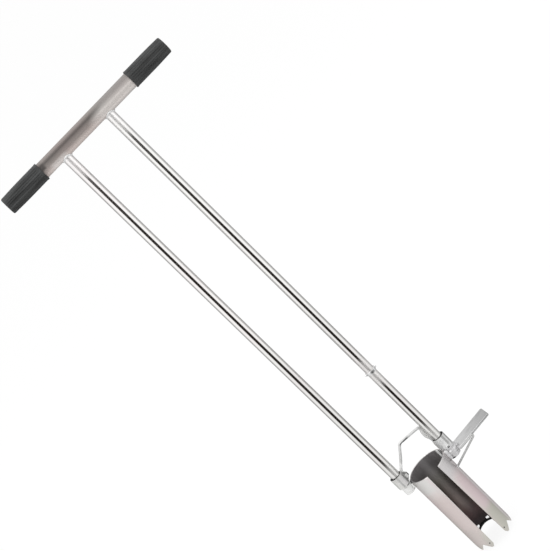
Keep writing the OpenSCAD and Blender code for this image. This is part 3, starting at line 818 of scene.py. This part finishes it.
# bow lugs: a gusset on the left, its outline above the rim, and a small foot behind the right sleeve
lug = Values(
    low=cutter.top - 0.5, corner=1.0, edge=0.8, back=(2.5, 9.5), footHigh=181.0, weld=0.8, weldLift=0.4,
    gusset=[(-35.7, 4.6), (-34.0, 5.2), (-27.8, 11.0), (-27.8, 14.0), (-33.8, 22.4), (-35.7, 22.4)],
    foot=[(32.8, 5.5), (37.2, 5.5), (37.2, 11.2), (32.8, 11.2)], footWeld=[(33.4, 5.2), (36.4, 5.2)],
    gussetWeld=[(-34.7, 2.0, 171.5), (-34.7, 2.0, 185.0)])
gusset = roundCorners(np.array(lug.gusset) + (0, lug.low), lug.corner)
standing = ((1, 0, 0), (0, 0, 1), (0, 1, 0))
piece("bowLug.left", [placed(slab(gusset, *lug.back, lug.edge), standing)], litZinc, ["bow_lug_left"])
lugFoot = slab(roundCorners(lug.foot, lug.corner), lug.low, lug.footHigh, lug.edge)
piece("bowLug.right", [lugFoot], litZinc, ["bow_lug_right"])
piece("lugWeld", [
    bead(lug.gussetWeld, lug.weld, (0, 1, 0)),
    bead([(x, y, lug.low + lug.weldLift) for x, y in lug.footWeld], lug.weld, (0, 0, 1))], litZinc)

# inner tab: a thin curved strip just inside the rim on the right
tab = Values(turn=32.0, inner=31.3, outer=32.25, low=151.0, high=cutter.top - 0.3, round=0.35)
tabEdge = ringSection(tab.inner, tab.outer, tab.low, tab.high, tab.round, 3)
tabTurn = np.radians(np.linspace(0.0, tab.turn, 24))[:, None]
tabGrid = np.stack([tabEdge[:, 0] * np.cos(tabTurn), tabEdge[:, 0] * np.sin(tabTurn),
                    tabEdge[:, 1] + 0 * tabTurn], -1)
piece("bowTab", [(tabGrid, False, True, True)], tabZinc)

# bow: a bent rod whose right leg is pressed to a flat leaf and then passes behind the sleeve
bow = Values(
    radius=2.3, y=7.0, leafWide=4.0, leafThin=1.4, leafY=8.8, legFrom=22.0, legSoft=8.0,
    leaf=(184.0, 218.0), behindFrom=206.0, behind=2.4, soft=14.0, bends=(0, 8, 8, 8, 4.5, 8, 8, 0),
    route=[(-33.6, 183), (-32.0, 188.6), (-17.6, 204.6), (-4.6, 221.2), (35.6, 216.8), (33.9, 200),
           (36.2, 188), (36.2, 178)])


def makeBow(b):
    # the leaf swells smoothly between two heights on the right leg
    flat = roundCorners(b.route, b.bends, 10, closed=False)
    path = resample(np.stack([flat[:, 0], np.full(len(flat), b.y), flat[:, 1]], 1), 220)
    leg, z = rise(path[:, 0], b.legFrom, b.legSoft), path[:, 2]
    leaf = leg * rise(b.leaf[1] - z, 0, b.soft) * rise(z, b.leaf[0], b.soft)
    leaf = smooth(leaf, 0, 1)
    behind = leg * rise(b.behindFrom - z, 0, b.soft)
    path[:, 1] += leaf * (b.leafY - b.y) + behind * b.behind * (1 - leaf)
    wide, thick = (b.radius + leaf * (size - b.radius) for size in (b.leafWide, b.leafThin))
    piece("bowRod", [swept(path, wide, thick, (0, 1, 0), 24)], rodSteel, ["bow_rod"])


makeBow(bow)

# pedal: plate on a band round the right sleeve
pedal = Values(
    x=55.5, z=154.5, long=69.2, wide=33.2, thick=4.0, tilt=4.6, corner=3.0, backCorner=0.8, edge=1.1,
    bandRadius=12.3, bandX=sleeve.x + sleeve.off, bandLow=150.5, bandHigh=159.5, weld=1.5,
    weldRing=13.0, weldTurn=0.55, weldZ=(156.0, 151.3), lumpZ=152.9, lump=2.3,
    lumpAt=((56.2, 15.0), (55.8, 11.0), (55.6, 7.0)))


def makePedal(p):
    # band: a ring that bulges round the sleeve
    inner = sleeve.radius - 0.05
    ring = roundCorners([(inner, p.bandLow), (p.bandRadius, p.bandLow + 1.5),
                         (p.bandRadius, p.bandHigh - 2.5), (inner, p.bandHigh)], (0.1, 1.2, 2.0, 0.1))
    piece("pedalBand", [turned(ring, (p.bandX, 0, 0))], sleeveZinc, ["pedal_band"])
    # plate: a rectangle with a round mouth cut to fit the band, raised at its outer end
    half, mouth = p.wide / 2, p.bandRadius + 0.05
    arcEnd = math.asin(math.sqrt(mouth ** 2 - sleeve.radius ** 2) / mouth)
    arc = np.linspace(-arcEnd, arcEnd, 13)
    mouthLine = np.stack([-sleeve.radius + mouth * np.cos(arc), mouth * np.sin(arc)], 1)[::-1]
    corners = roundCorners([(0, -half), (p.long, -half), (p.long, half), (0, half)],
                           (p.backCorner, p.corner, p.corner, p.backCorner))
    plate = slab(np.concatenate([corners, mouthLine]), -p.thick, 0.0, p.edge)
    c, s = math.cos(math.radians(p.tilt)), math.sin(math.radians(p.tilt))
    raised = placed(plate, ((c, 0, s), (0, 1, 0), (-s, 0, c)), (p.x, 0, p.z))
    piece("footPedal", [raised], pedalZinc, ["foot_pedal"])
    # weld: beads above and below the plate round the band, and a lump on each side of it
    swing, r = np.linspace(-p.weldTurn, p.weldTurn, 30), p.weldRing
    arc = np.stack([p.bandX + r * np.cos(swing), r * np.sin(swing), 0 * swing], 1)
    beads = [bead(arc + (0, 0, z), p.weld, (0, 0, 1), seed=z) for z in p.weldZ]
    lumps = [bead([(x, side * y, p.lumpZ) for x, y in p.lumpAt], p.lump, (0, 0, 1), ripple=0.06)
             for side in (-1, 1)]
    piece("pedalWeld", beads + lumps, sleeveZinc)


makePedal(pedal)

# brace: a thin rod bent back under the pedal's front edge and welded to the tube
brace = Values(
    radius=1.75, bend=2.6, foot=(33.6, -11.3, 132.0), out=(33.2, -11.0, 0), ring=2.2, weld=0.9,
    route=[(57.5, -17.8, 152.4), (77, -18.3, 153.8), (83.4, -18.8, 156.2), (84.4, -19.2, 151.9),
           (33.4, -11.2, 132.0)])


def makeBrace(b):
    path = resample(roundCorners(b.route, b.bend, 8, closed=False), 120)
    piece("pedalBrace", [swept(path, b.radius, b.radius, (0, 1, 0), 20)], rodSteel, ["pedal_brace"])
    swing = np.linspace(0, 2 * np.pi, 25)
    e1, e2, _ = sideways(b.out)
    ring = np.array(b.foot) + b.ring * (np.outer(np.cos(swing), e1) + np.outer(np.sin(swing), e2))
    piece("braceWeld", [bead(ring, b.weld, b.out, closed=True)], weldSteel)


makeBrace(brace)
print("bow and pedal made")

# uprights: bright tubes with a plug in the foot and a weld bead at the bar, lapping further at the front
upright = Values(
    x=44.2, radius=8.0, wall=1.5, bottom=nodeEnd("upright_left", 0), top=908.0, plug=7.9, spigot=6.45,
    spigotLong=10.0, weld=1.45, lap=0.25, frontLap=1.22, weldSunk=0.3)
bar = Values(z=918.0, radius=13.0, wall=1.5, left=-153.2, right=170.0, tilt=0.2)


def makeUpright(u, side, word):
    where = (side * u.x, 0, 0)
    wall = ringSection(u.radius - u.wall, u.radius, u.bottom, u.top, (0.2, 0.4, 0, 0))
    piece("upright." + word, [turned(wall, where, steps=128)], uprightSteel, ["upright_" + word],
          "handle_frame")
    low, seat = nodeEnd("foot_plug_left", 0), u.bottom - 0.05
    plug = [(0, low), (u.plug, low), (u.plug, seat), (u.spigot, seat),
            (u.spigot, seat + u.spigotLong), (0, seat + u.spigotLong)]
    piece("footPlug." + word, [spun(plug, (0, 0.8, 0.2, 0, 0.6, 0), where)], bushPlastic,
          ["foot_plug_" + word], "handle_frame")
    turn, lap = np.linspace(0, 2 * np.pi, 65), u.radius + u.lap
    lapY = lap * np.sin(turn) * np.where(np.sin(turn) < 0, u.frontLap, 1.0)
    saddle = np.stack([side * u.x + lap * np.cos(turn), lapY,
                       bar.z - np.sqrt(bar.radius ** 2 - lapY ** 2) - u.weldSunk], 1)
    piece("uprightWeld." + word, [bead(saddle, u.weld, (0, 0, 1), pitch=2.6, closed=True, seed=side)],
          sleeveZinc, ["upright_weld_" + word], body="handle_frame")


for side, word in bothSides:
    makeUpright(upright, side, word)

# crossbar: a tube, very slightly tilted
barAxis = np.array([math.cos(math.radians(bar.tilt)), 0, math.sin(math.radians(bar.tilt))])
barWall = ringSection(bar.radius - bar.wall, bar.radius, bar.left, bar.right, 0.3)
piece("crossbar", [turned(barWall, (0, 0, bar.z), barAxis, 144)], barSteel, ["crossbar"],
      "handle_frame")

# stop: a collar on the right upright, and a pin with round ends through both
stop = Values(
    x=upright.x, low=nodeEnd("stop_collar", 0), high=nodeEnd("stop_collar", 1), bore=7.98, radius=9.3,
    pin=1.75, reach=11.9)
collar = ringSection(stop.bore, stop.radius, stop.low, stop.high, (0, 0.8, 0.8, 0))
piece("stopCollar", [turned(collar, (stop.x, 0, 0))], fastenerSteel, ["stop_collar"],
      "handle_frame")
pinHalf, pinZ = stop.reach - stop.pin, (stop.low + stop.high) / 2
pinPath = np.linspace((stop.x - pinHalf, 0, pinZ), (stop.x + pinHalf, 0, pinZ), 20)
piece("stopPin", [swept(pinPath, stop.pin, stop.pin, (0, 0, 1), 24)], fastenerSteel, ["stop_pin"],
      "handle_frame")

# grips: ribbed rubber tubes with rounded outer ends and a lip at the mouth
grip = Values(
    radius=15.0, bore=13.02, long=72.0, end=2.0, ribs=24, groove=0.045, round=1.9, margin=4.0, lip=3.0,
    lipOut=0.3, vent=2.0, taper=0.8, taperLong=34.0)


def gripProfile(g):
    # (radius, height) from the vented end along the tapering skin to the lip, then back down the bore
    end, lip, lipLow = g.radius - g.taper, g.radius + g.lipOut, g.long - g.lip
    body = np.linspace(g.round + 0.4, lipLow - 0.6, 40)
    return np.concatenate([
        [(0, 1.2), (g.vent, 1.2), (g.vent + 0.5, 0.0)],
        roundCorners([(g.vent + 0.5, 0.0), (end, 0.0), (end, 8.0)], (0, g.round, 0), 6, False)[1:-1],
        np.stack([g.radius - g.taper * np.clip(1 - body / g.taperLong, 0, 1) ** 1.5, body], 1),
        roundCorners([(g.radius, lipLow - 0.4), (lip, lipLow), (lip, g.long), (g.bore, g.long),
                      (g.bore, 40.0)], (0, 0.3, 0.7, 0.4, 0), 4, False),
        [(g.bore, g.end), (0, g.end)]])


def ribs(angle, height):
    # narrow grooves between broad ribs, faded out at both ends and kept off the bore
    g = grip
    wave = (0.5 - 0.5 * np.cos(angle * g.ribs)) ** 4
    fade = rise(height, g.margin - 2.5, 2.5) * rise(g.long - g.lip - 0.5 - height, 0, 1.5)
    skin = gripSkin[None, :, 0] > g.bore + 1.0
    return 1 - g.groove * wave * fade * skin


gripSkin = gripProfile(grip)
for side, word, outer in ((-1, "left", -155.2), (1, "right", 172.0)):
    skin = turned(gripSkin, barAxis * outer + (0, 0, bar.z), -side * barAxis, 288, False, ribs)
    piece("grip." + word, [skin], gripRubber, ["grip_" + word], "handle_frame")
print("handle made")

# stage: pale floor, white for camera and mirror rays, and soft lamps as (name, place, target, size, power)
studio = Values(
    floor=60.0, floorZ=-0.0006, floorColour=grey(0.97), shadowShare=0.1, world=0.95,
    lamps=[("key", (-1.4, -1.6, 2.6), (0, 0, 0.5), 1.8, 26.0),
           ("fill", (2.2, -1.4, 1.8), (0, 0, 0.4), 2.2, 12.0),
           ("top", (0.2, 0.8, 3.2), (0, 0, 0.3), 2.4, 16.0)])


def backgroundRays(near):
    # 1 for camera, mirror and glass rays, else 0
    rays = addNode(near, "LightPath").outputs
    seen = mathNode("ADD", rays["Is Camera Ray"], rays["Is Glossy Ray"])
    return mathNode("ADD", seen, rays["Is Transmission Ray"])


def makeFloor(s):
    # paper that shows a share of its own shading and is white otherwise
    half, z = s.floor, s.floorZ
    mesh = bpy.data.meshes.new("floor")
    mesh.from_pydata([(-half, -half, z), (half, -half, z), (half, half, z), (-half, half, z)], [],
                     [(0, 1, 2, 3)])
    mat, paper, _ = newFinish("floorPaper", Base_Color=s.floorColour, Roughness=0.9, Specular_IOR_Level=0.1)
    glow, mix = addNode(paper, "Emission"), addNode(paper, "MixShader")
    white = spread(backgroundRays(paper), 0.0, 1 - s.shadowShare, 0.0, 1.0)
    for socket, source in zip(mix.inputs, (white, paper.outputs[0], glow.outputs[0])):
        link(source, socket)
    link(mix.outputs[0], mat.node_tree.nodes["Material Output"].inputs["Surface"])
    mesh.materials.append(mat)
    addObject("floor", mesh)


def makeLight(s):
    world = bpy.data.worlds.new("studio")
    scene.world = world
    world.use_nodes = True
    back = world.node_tree.nodes["Background"]
    feed(back.inputs["Color"], grey(1.0))
    link(spread(backgroundRays(back), s.world, 1.0, 0.0, 1.0), back.inputs["Strength"])
    for name, place, target, size, power in s.lamps:
        lamp = bpy.data.lights.new(name, "AREA")
        lamp.energy, lamp.size = power, size
        obj = addObject(name, lamp)
        obj.location = place
        obj.rotation_euler = (Vector(target) - Vector(place)).to_track_quat("-Z", "Y").to_euler()


# floor tone: what upright metal mirrors, by bearing from the front (toward +X, in degrees) and by distance;
# a dark wedge lies ahead between the near and far distances, and the tone falls off at the sides: each fall
# is (side, start, end, drop), and the far ones all drop to edge
floorCard = Values(
    dark=(0.018, 0.014, 0.012), wedge=(-34.0, 22.0), soft=6.0, near=(0.42, 0.5), far=(5.6, 6.1), edge=0.46,
    reach=(0.03, 30.0), z=-0.0003, farFalls=((1, 62, 100), (-1, 78, 120)),
    nearFalls=((1, 30, 70, 0.1), (1, 70, 120, 0.22), (1, 120, 165, 0.18), (-1, 60, 110, 0.08),
               (-1, 110, 165, 0.14)))


def cardFinish():
    # a glow in the tone that each point carries
    mat, shader, _ = newFinish("cardTone")
    tone, glow = addNode(shader, "VertexColor"), addNode(shader, "Emission")
    tone.layer_name = "tone"
    link(tone.outputs["Color"], glow.inputs["Color"])
    link(glow.outputs[0], mat.node_tree.nodes["Material Output"].inputs["Surface"])
    return mat


def cardTone(f, deg, away):
    # one tone near the tool and another far off, with the dark wedge over them
    far = 1 - (1 - f.edge) * sum(smooth(side * deg, low, high) for side, low, high in f.farFalls)
    near = 1 - sum(drop * smooth(side * deg, low, high) for side, low, high, drop in f.nearFalls)
    share = smooth(away, *f.near)
    left, right = (smooth(deg, at - f.soft, at + f.soft) for at in f.wedge)
    wedge = (left * (1 - right) * share * (1 - smooth(away, *f.far)))[..., None]
    return (near * (1 - share) + far * share)[..., None] * (1 - wedge) + np.array(f.dark) * wedge


def makeFloorCard(f):
    # a polar grid on the floor that mirror rays alone see
    away, deg = np.meshgrid(np.geomspace(*f.reach, 180), np.linspace(-180, 180, 361), indexing="ij")
    bearing = np.radians(deg)
    points = np.stack([away * np.sin(bearing), -away * np.cos(bearing), np.full(deg.shape, f.z)], -1)
    mesh = bpy.data.meshes.new("floorCard")
    mesh.from_pydata(points.reshape(-1, 3).tolist(), [], gridFaces(*deg.shape).tolist())
    layer = mesh.color_attributes.new("tone", "FLOAT_COLOR", "POINT")
    rgba = np.concatenate([cardTone(f, deg, away), np.ones((*deg.shape, 1))], 2)
    layer.data.foreach_set("color", rgba.astype(np.float32).ravel())
    mesh.materials.append(cardFinish())
    obj = addObject("floorCard", mesh)
    obj.visible_camera = obj.visible_diffuse = obj.visible_shadow = obj.visible_transmission = False
    obj.visible_volume_scatter = False


makeFloor(studio)
makeLight(studio)
makeFloorCard(floorCard)
print("stage set")

bpy.context.view_layer.update()
